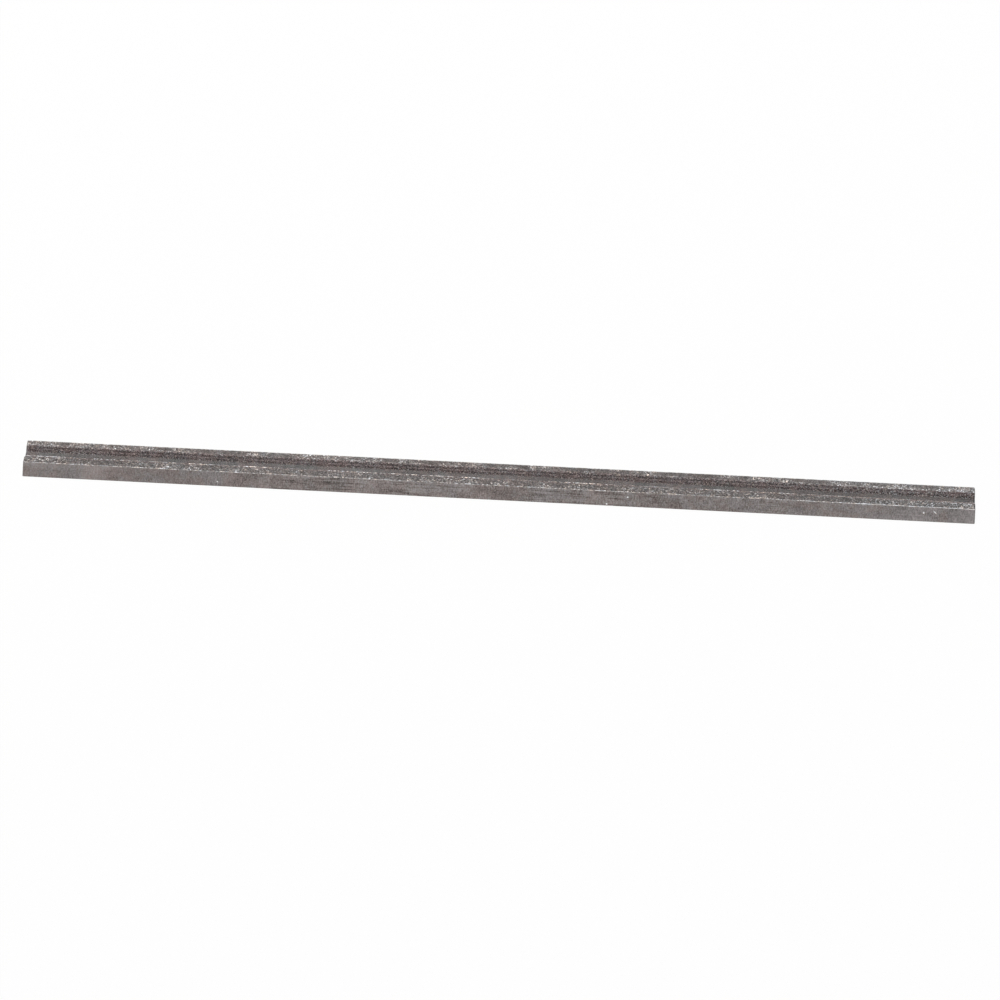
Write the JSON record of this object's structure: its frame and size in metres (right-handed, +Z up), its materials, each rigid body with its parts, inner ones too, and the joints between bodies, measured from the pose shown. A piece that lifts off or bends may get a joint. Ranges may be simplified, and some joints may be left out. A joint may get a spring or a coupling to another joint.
{
  "type": "planer knife",
  "caption": "Reversible carbide planer knife: a thin straight strip with a cutting edge along each side, both bevelled, and a lengthwise positioning groove.",
  "frame": {"origin": "middle of the wide ground face, which the knife lies on", "axes": "+X along the knife, +Y across it towards one cutting edge, +Z up out of the grooved face"},
  "size_m": [0.102, 0.0054, 0.0011],
  "materials": {
    "carbide": "satin"
  },
  "bodies": {
    "root": {"planer_knife": "carbide"}
  },
  "joints": []
}
